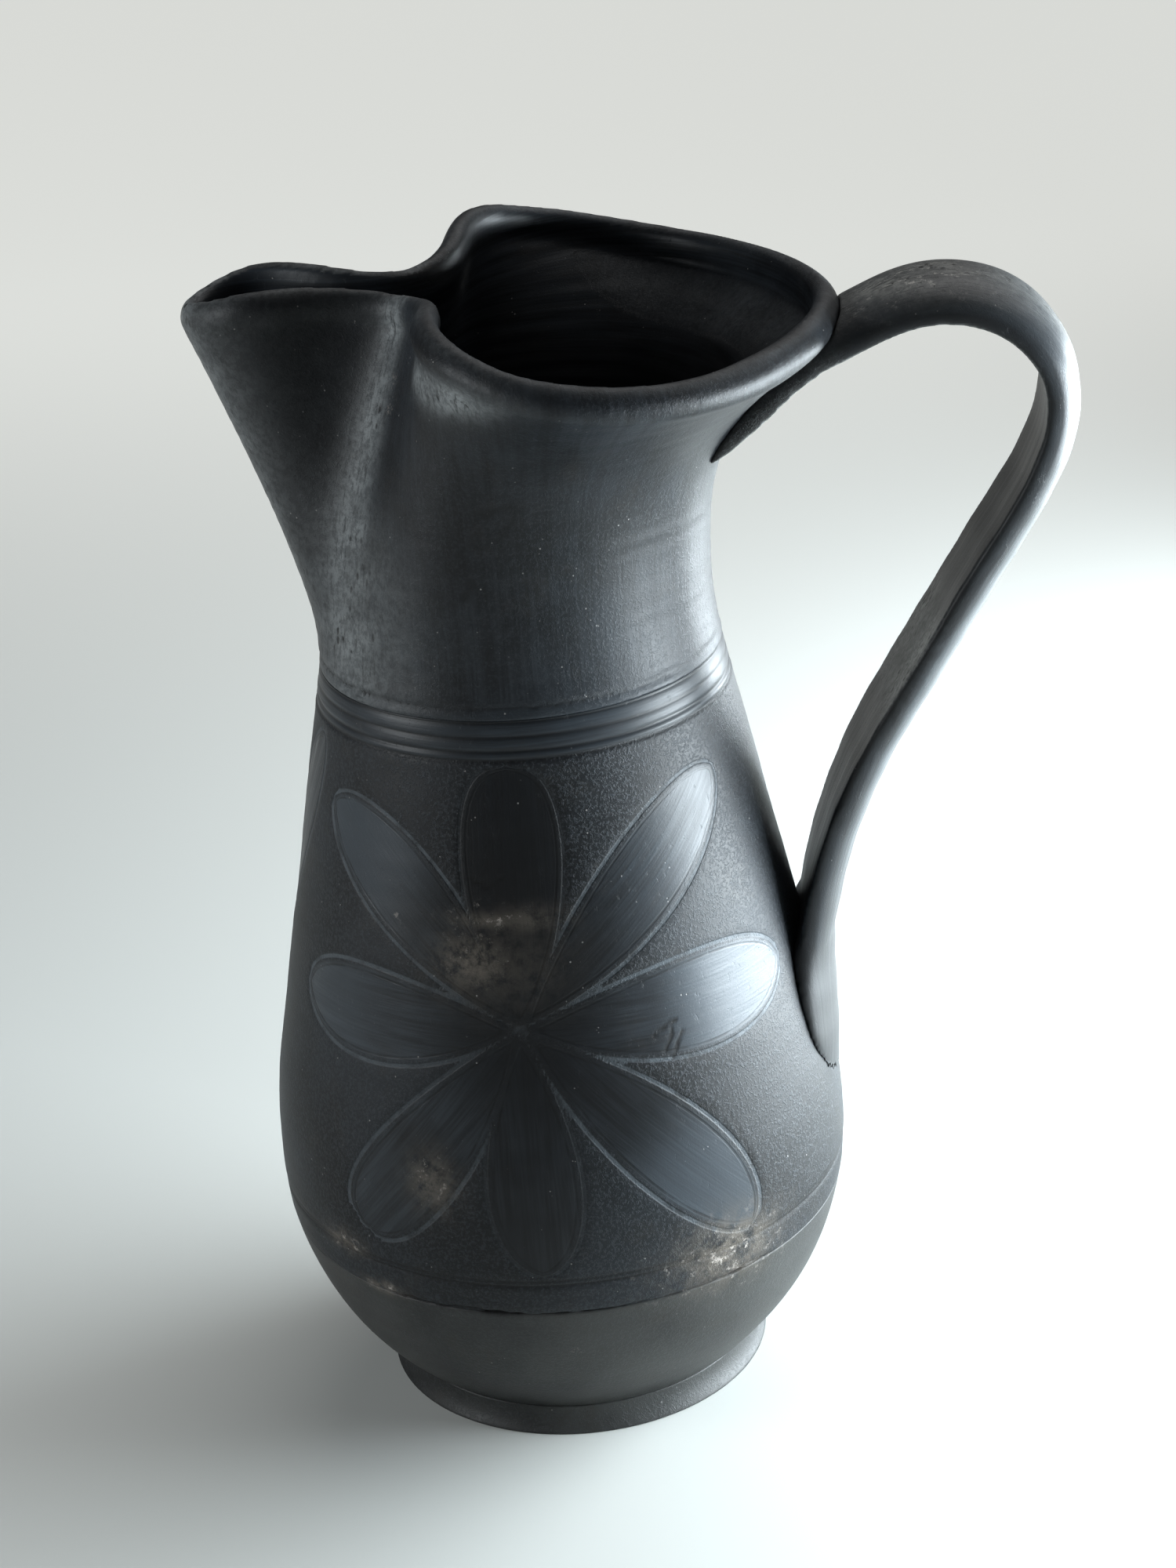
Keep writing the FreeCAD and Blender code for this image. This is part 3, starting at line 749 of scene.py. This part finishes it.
def makeBowl(finish):
    low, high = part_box("lower_bowl")[0][2] / mm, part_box("lower_bowl")[1][2] / mm
    piece = spun("bowl", bowlSection(low, high), bowl["steps"], closed=False)
    places = corners(piece.data) / mm
    facing = corners(piece.data, "normal")
    height = places[:, 2]
    outside = outwardness(places, facing) > bowl["facing"]
    crack = crackField(places)
    hand = wander(places, *bowl["hand"]) * smoothStep(high, high - bowl["handFade"], height)
    shown = outside & (height > low + bowl["footCover"])
    shift = np.where(shown, hand - crack * bands["crackDepth"], 0)
    moveCorners(piece, (places + facing * shift[:, None]) * mm)
    dress(
        piece, height, np.radians(angleRound(places)) * bowl["strokeRadius"],
        tone=bowl["tone"],
        rough=np.where(outside, bowl["rough"], bowl["roughInside"]),
        line=-crack,
        bloom=markField(places, marks["bloom"]) * outside,
        chalk=markField(places, marks["chalk"]) * outside,
    )
    settle(piece, finish, ["lower_bowl"])


# Belly

belly = {
    "steps": 512,
    "rowHeight": 1.05,
    "fineRowHeight": 0.42,   # within fineReach of a turned line
    "fineReach": 1.6,
    "leastRowHeight": 0.2,   # of the last row
    "insideRows": 15,
    "softening": 6,
    "facing": 0.5,
    "hand": (3, 160, 35, 0.16),
    "throwingRings": (5, 9, 5, 0.035),
    # heights where each begins and is full
    "seamFade": (50.8, 56),
    "bandStart": (186.5, 188),
    "bandTone": 0.3,
    "strokeRadius": 48,
    # roughness of the ground, and how much less the petals and the bands have
    "rough": 0.42,
    "petalPolish": 0.40,
    "bandPolish": 0.3,
    "roughInside": 0.5,
    "bandDark": 0.7,
    "leastOutlineShading": 0.08,
}


def bellySection():
    low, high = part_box("belly_wall")[0][2] / mm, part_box("belly_wall")[1][2] / mm
    lines = [row[0] for row in bands["upper"] + bands["lower"]] + [bands["crackHeight"]]
    levels = []
    height = low
    while height < high - belly["leastRowHeight"]:
        levels.append(height)
        fine = min(abs(height - line) for line in lines) < belly["fineReach"]
        height += belly["fineRowHeight"] if fine else belly["rowHeight"]
    levels.append(high)
    radii = softened(np.interp(levels, *turnedProfile("belly_wall", 1)), belly["softening"])
    back = np.linspace(high, low, belly["insideRows"])
    inside = np.column_stack((np.interp(back, *turnedProfile("belly_wall", -1)), back))
    return np.vstack((np.column_stack((radii, levels)), inside))


def makeBelly(finish):
    piece = spun("belly", bellySection(), belly["steps"], closed=True)
    places = corners(piece.data) / mm
    facing = corners(piece.data, "normal")
    height = places[:, 2]
    outside = outwardness(places, facing) > belly["facing"]
    inside, along, aside, tone, pressed = flowerField(places)
    petal = smoothStep(0, flower["petalRim"], inside)
    band, cut = bandField(places, bands["upper"] + bands["lower"])
    crack = crackField(places)
    depth = cut + crack * bands["crackDepth"]
    depth += flower["lineDepth"] * ridge(inside, flower["lineWidth"]) + flower["petalDepth"] * petal
    hand = wander(places, *belly["hand"]) + wander(places * levelRings, *belly["throwingRings"])
    shift = np.where(outside, hand * smoothStep(*belly["seamFade"], height) - depth, 0)
    moveCorners(piece, (places + facing * shift[:, None]) * mm)
    # burnished along each petal, and level in the bands
    banded = smoothStep(*belly["bandStart"], height)
    level = banded > 0.5
    around = np.radians(angleRound(places)) * belly["strokeRadius"]
    rough = np.clip(belly["rough"] - petal * belly["petalPolish"] - banded * belly["bandPolish"], 0, 1)
    hairlines = scratchField(places, marks["hairlines"], marks["hairlineWidth"])
    dress(
        piece, np.where(level, height, aside), np.where(level, around, along),
        # the petals' tones are painted highlight and painted shade, the flower's middle painted shade, and
        # the bands a burnished pale
        tone=np.maximum(petal, -np.sign(tone)) * tone + belly["bandTone"] * banded * outside,
        rough=np.where(outside, rough, belly["roughInside"]),
        line=np.clip(-band * belly["bandDark"] - crack - hairlines, -1, 0) * outside,
        edge=np.where(outside, inside, plainSurface["edge"]),
        pressed=np.clip(pressed, belly["leastOutlineShading"], 1),
        bloom=markField(places, marks["bloom"]) * outside,
        chalk=markField(places, marks["chalk"]) * outside,
    )
    settle(piece, finish, ["belly_wall"])


# Neck and lip

neck = {
    "detail": 1.02,
    "softening": 7,
    "beakReach": -62,
    # how squarely the outside faces outwards, and the lip upwards, where each begins and is full
    "facing": (-0.25, 0.15),
    "upwards": (0.5, 0.9),
    "hand": (11, 70, 22, 0.14),
    "throwingRings": (13, 4.6, 2.2, 1.0, 5),
    "ringDepth": 0.035,
    "ringDepthInside": 0.07,
    # mm above the seam: where the wandering is full, and over which the wall runs on from the belly
    "seamFade": 1.5,
    "seamRun": 3.4,
    "seamReach": 3.0,
    "seamBand": 0.5,
    "seamOutside": (0.5, 0.9),   # of what is moved, and of what is measured
    "strokeRadius": 48,
    "bandTop": 199.5,
    "bandFade": (200.5, 198.5),
    "bandTone": 0.3,
    "bandDark": 0.7,
    # painted shade inside the mouth, darkest low down and fading out between these heights
    "insideShadeFade": (236, 276),
    "insideShade": 0.8,
    "rough": 0.24,
    "roughInside": 0.12,
    # streaks up the neck: angle from the handle, half width, heights where it begins and is full, strength
    # painted shade on the beak's side and beside it
    "shadeStreaks": [(161, 12, 216, 240, 1.4), (112, 22, 210, 235, 0.35)],
    # wear with painted highlights in the furrow and on the keel
    "wornAndSheenStreaks": [(147, 7, 205, 235, 1.1), (177, 9, 196, 220, 0.9)],
    # patches: angle from the handle, half width, height, half height, strength
    # wear with painted highlights where the furrow runs out, and on the near lobe
    "wornAndSheenPatches": [(142, 20, 213, 20, 1.1), (98, 11, 277, 4, 1.6)],
    "chalkPatches": [(138, 4, 266, 5, 0.8)],
    # the lip's crown: how level it lies, the heights where it begins and is full, strength of its wear and
    # painted highlight
    "crownFacing": (0.45, 0.95),
    "crownHeight": (255, 262),
    "crownWearAndSheen": 0.25,
    "patchy": (23, 60, 8, 0.2),
}


def neckOutside(places, facing):
    # 1 outside and on the lip, 0 inside; away from the axis, or from the line along the beak
    line = np.clip(places[:, 0], neck["beakReach"], 0)
    away = np.column_stack((places[:, 0] - line, places[:, 1]))
    outward = (facing[:, :2] * away).sum(axis=1) / np.maximum(np.linalg.norm(away, axis=1), 0.1)
    return smoothStep(*neck["facing"], outward + smoothStep(*neck["upwards"], facing[:, 2]))


def fillSeam(moved, places, outside, cut):
    # the lower edge stays sharp, so that the wall runs on from the belly
    radius, run = fromAxis(places), neck["seamRun"]
    movedOutside, measuredOutside = neck["seamOutside"]
    above = places[:, 2] - places[:, 2].min()
    measured = (outside > measuredOutside) & (np.abs(above - run) < neck["seamBand"])
    upper = radius[measured].mean()
    seam = turnedProfile("belly_wall", 1)[1][-1]
    wanted = seam + (upper - seam) * np.clip(above / run, 0, 1) - cut
    fuller = np.maximum(wanted / radius, 1)[:, None]
    near = (outside > movedOutside) & (above < neck["seamReach"])
    moved[near, :2] = (moved[:, :2] * fuller)[near]


def neckStreaks(side, height, rows):
    return sum(ridge(side - at, wide) * smoothStep(low, high, height) * strength
               for at, wide, low, high, strength in rows)


def neckPatches(side, height, rows):
    return sum(ridge(side - at, wide) * ridge(height - middle, high) * strength
               for at, wide, middle, high, strength in rows)


def makeNeck(finish):
    piece = claySkin("neck_and_lip", ["neck_spout", "lip_roll"], neck["detail"], neck["softening"])
    places = corners(piece.data) / mm
    facing = corners(piece.data, "normal")
    height = places[:, 2]
    outside = neckOutside(places, facing)
    band, cut = bandField(places, bands["upper"])
    rings = wander(places * levelRings, *neck["throwingRings"])
    shift = (wander(places, *neck["hand"]) - cut + rings * neck["ringDepth"]) * outside
    shift += rings * neck["ringDepthInside"] * (1 - outside)
    shift *= smoothStep(0.0, neck["seamFade"], height - height.min())
    moved = places + facing * shift[:, None]
    fillSeam(moved, places, outside, cut)
    moveCorners(piece, moved * mm)
    # burnished upwards outside, turned level inside and in the bands
    angle = angleRound(places)
    side = np.abs(angle)
    around = np.radians(angle) * neck["strokeRadius"]
    level = (outside < 0.5) | (height < neck["bandTop"])
    banded = smoothStep(*neck["bandFade"], height) * neck["bandTone"]
    # outside: the bands' burnished pale, and painted shade on the beak's side
    toneAndShadeOutside = banded - neckStreaks(side, height, neck["shadeStreaks"])
    # inside: painted shade in the mouth
    shadeInside = neck["insideShade"] * (smoothStep(*neck["insideShadeFade"], height) - 1)
    # the lip's crown, where it faces up, is paler: wear and painted highlight
    crown = smoothStep(*neck["crownFacing"], facing[:, 2]) * smoothStep(*neck["crownHeight"], height)
    wornAndSheen = neckStreaks(side, height, neck["wornAndSheenStreaks"]) + crown * neck["crownWearAndSheen"]
    wornAndSheen += neckPatches(side, height, neck["wornAndSheenPatches"])
    smudges = scratchField(moved, marks["smudges"], marks["smudgeWidth"]) * marks["smudgeStrength"]
    dress(
        piece, np.where(level, height, around), np.where(level, around, height),
        tone=toneAndShadeOutside * outside + shadeInside * (1 - outside),
        wear=np.clip(wornAndSheen, 0, 1) * patchy(moved, *neck["patchy"]) * outside,
        rough=neck["rough"] * outside + neck["roughInside"] * (1 - outside),
        line=np.clip(-band * neck["bandDark"] - smudges, -1, 0) * outside,
        chalk=neckPatches(side, height, neck["chalkPatches"]) * outside,
    )
    settle(piece, finish, ["neck_spout", "lip_roll"])


# Handle

handle = {
    "detail": 0.62,
    "softening": 7,
    "middle": (84.0, 0.0, 196.0),   # of the opening
    "strokeRadius": 70,
    "hand": (19, 70, 12, 0.15),
    # the levels where each begins and is full: facing the opening's middle, and height or reach
    "innerFacing": (0.45, 0.80),
    "innerHeight": (118, 215),
    "crestFacing": (-0.4, -0.9),
    "crestHeight": (140, 220),
    "crestWidth": 10,
    "crestWearAndSheen": 0.5,
    "rootReach": (86, 76),
    "rootHeight": (240, 250),
    "rootWear": 0.1,
    "jointPlace": (97, -3),
    "jointSize": (15, 9),
    "jointFacing": (0.0, -0.7),
    "jointHeight": (255, 262),
    # painted shade on the strap's sides, and painted highlight on its outer face
    "sideFacing": (0.25, 0.25),     # its middle and width
    "sideShade": 0.8,
    "outerFacing": (0.0, -0.6),
    "outerHighlight": 0.45,
    "patchy": (29, 40, 6, 0.2),
    # roughness of the strap, and what the inner face and the root add
    "rough": 0.15,
    "innerRough": 0.15,
    "rootRough": 0.2,
}


def makeHandle(finish):
    nodes = ["handle_root", "handle_tongue", "handle_strap"]
    piece = claySkin("handle", nodes, handle["detail"], handle["softening"])
    places = corners(piece.data) / mm
    facing = corners(piece.data, "normal")
    reach, aside, height = places.T
    spoke = places - np.array(handle["middle"])
    turn = np.arctan2(spoke[:, 2], spoke[:, 0])
    inward = -(facing[:, 0] * spoke[:, 0] + facing[:, 2] * spoke[:, 2]) / np.hypot(spoke[:, 0], spoke[:, 2])
    hand = wander(places, *handle["hand"])
    moveCorners(piece, (places + facing * hand[:, None]) * mm)
    # worn on the inner face and where it joins the lip, and worn with a painted highlight along the crest
    inner = smoothStep(*handle["innerFacing"], inward) * smoothStep(*handle["innerHeight"], height)
    crest = smoothStep(*handle["crestFacing"], inward) * smoothStep(*handle["crestHeight"], height)
    crest *= ridge(aside, handle["crestWidth"])
    root = smoothStep(*handle["rootReach"], reach) * smoothStep(*handle["rootHeight"], height)
    joint = smoothStep(*handle["jointFacing"], inward) * smoothStep(*handle["jointHeight"], height)
    for way, middle, size in zip((reach, aside), handle["jointPlace"], handle["jointSize"]):
        joint *= ridge(way - middle, size)
    wornAndSheen = np.clip(inner + root * handle["rootWear"] + crest * handle["crestWearAndSheen"] + joint, 0, 1)
    sideFacing, sideWidth = handle["sideFacing"]
    # painted highlight on the outer face, and painted shade on the strap's sides below
    light = handle["outerHighlight"] * smoothStep(*handle["outerFacing"], inward)
    dress(
        piece, aside, turn * handle["strokeRadius"],
        tone=light - handle["sideShade"] * ridge(inward - sideFacing, sideWidth),
        wear=wornAndSheen * patchy(places, *handle["patchy"]),
        rough=handle["rough"] + inner * handle["innerRough"] + root * handle["rootRough"],
        chalk=joint,
    )
    settle(piece, finish, nodes)


burnishedClay = clayFinish("burnished_clay", finishes["burnished"])
smokedClay = clayFinish("smoked_clay", finishes["smoked"])
lutedClay = clayFinish("luted_clay", finishes["luted"])
print("finishes made")

makeFoot(smokedClay)
makeBowl(smokedClay)
makeBelly(burnishedClay)
makeNeck(burnishedClay)
makeHandle(lutedClay)
print("jug made")


# Floor, light and camera

studio = {
    "floorSize": 14,
    "floorMiddle": (0, 3, 0),
    "floor": (0.57, 0.58, 0.555),
    "floorRoughness": 0.95,
    "floorGloss": 0.1,
    # the pale glow behind: colour, strength, its share of them, and how far back it begins and is full
    "glow": (0.983, 1.0, 0.957),
    "glowStrength": 0.58,
    "glowShare": 0.85,
    "glowReach": (0.1, 1.1),
    # place, aimed at, wide, high, power, colour
    "lamps": {
        "rightSide": ((0.47, 0.12, 0.13), (0.0, 0.0, 0.12), 0.60, 0.23, 17.5, (0.84, 0.94, 1.0)),
        "leftSide": ((-0.62, -0.30, 0.36), (0.0, 0.0, 0.22), 0.25, 0.35, 2.8, (0.92, 0.97, 1.0)),
    },
    # place, strength and spread in degrees
    "day": ((0.5, 0.7, 1.1), 1.2, 70),
    "air": (0.93, 0.96, 1.0),
    "airStrength": 0.05,
    "eye": (0.0831, -0.7383, 0.4890),
    "pitch": 24.06,
    "roll": 4.64,
    "turn": 5.38,
    "lens": 75.6,
    "sensor": 36,
    "nearest": 0.01,
}


def makeFloor():
    deselectAll()
    bpy.ops.mesh.primitive_plane_add(size=studio["floorSize"], location=studio["floorMiddle"])
    bpy.ops.object.transform_apply(location=True, rotation=False, scale=False)
    ground = bpy.context.object
    ground.name = "floor"
    f = Finish("pale_floor")
    rays = ("Is Camera Ray", "Is Glossy Ray", "Is Transmission Ray")
    seen = sum(f.node("ShaderNodeLightPath", output=ray) for ray in rays)
    place = f.node("ShaderNodeTexCoord", output="Object")
    behind = f.step(f.node("ShaderNodeSeparateXYZ", None, {"Vector": place}, "Y"), *studio["glowReach"])
    share = seen * behind * studio["glowShare"]
    shader = f.node("ShaderNodeBsdfPrincipled", None, {
        "Base Color": (*studio["floor"], 1),
        "Roughness": studio["floorRoughness"],
        "Specular IOR Level": studio["floorGloss"],
        "Emission Color": f.blend(share, (0, 0, 0), studio["glow"]),
        "Emission Strength": studio["glowStrength"],
    })
    f.node("ShaderNodeOutputMaterial", None, {"Surface": shader})
    ground.data.materials.append(f.material)


def hang(name, data, place, target):
    holder = bpy.data.objects.new(name, data)
    holder.location = place
    holder.rotation_euler = (Vector(target) - Vector(place)).to_track_quat("-Z", "Y").to_euler()
    bpy.context.collection.objects.link(holder)
    return holder


def makeLight():
    for name, (place, target, wide, high, power, colour) in studio["lamps"].items():
        lamp = bpy.data.lights.new(name, "AREA")
        lamp.shape = "RECTANGLE"
        lamp.size = wide
        lamp.size_y = high
        lamp.energy = power
        lamp.color = colour
        hang(name, lamp, place, target).visible_camera = False
    place, power, spread = studio["day"]
    day = bpy.data.lights.new("day", "SUN")
    day.energy = power
    day.angle = math.radians(spread)
    hang("day", day, place, (0, 0, 0))
    world = bpy.data.worlds.new("room")
    bpy.context.scene.world = world
    world.use_nodes = True
    air = world.node_tree.nodes["Background"]
    air.inputs["Color"].default_value = (*studio["air"], 1)
    air.inputs["Strength"].default_value = studio["airStrength"]


def makeCamera():
    pitch, roll, turn = (math.radians(studio[name]) for name in ("pitch", "roll", "turn"))
    ahead = Vector((0, math.cos(pitch), -math.sin(pitch)))
    down = Vector((0, -math.sin(pitch), -math.cos(pitch)))
    right = Vector((1, 0, 0))
    across = math.cos(roll) * right + math.sin(roll) * down
    lower = -math.sin(roll) * right + math.cos(roll) * down
    axes = Matrix((across, -lower, -ahead)).transposed()
    turned = Matrix.Rotation(turn, 3, "Z") @ axes
    camera = bpy.data.cameras.new("camera")
    camera.lens = studio["lens"]
    camera.sensor_width = studio["sensor"]
    camera.sensor_fit = "AUTO"
    camera.clip_start = studio["nearest"]
    holder = bpy.data.objects.new("camera", camera)
    holder.matrix_world = Matrix.Translation(studio["eye"]) @ turned.to_4x4()
    bpy.context.collection.objects.link(holder)
    bpy.context.scene.camera = holder


makeFloor()
makeLight()
makeCamera()
bpy.context.scene.view_settings.view_transform = "Standard"
print("studio made")
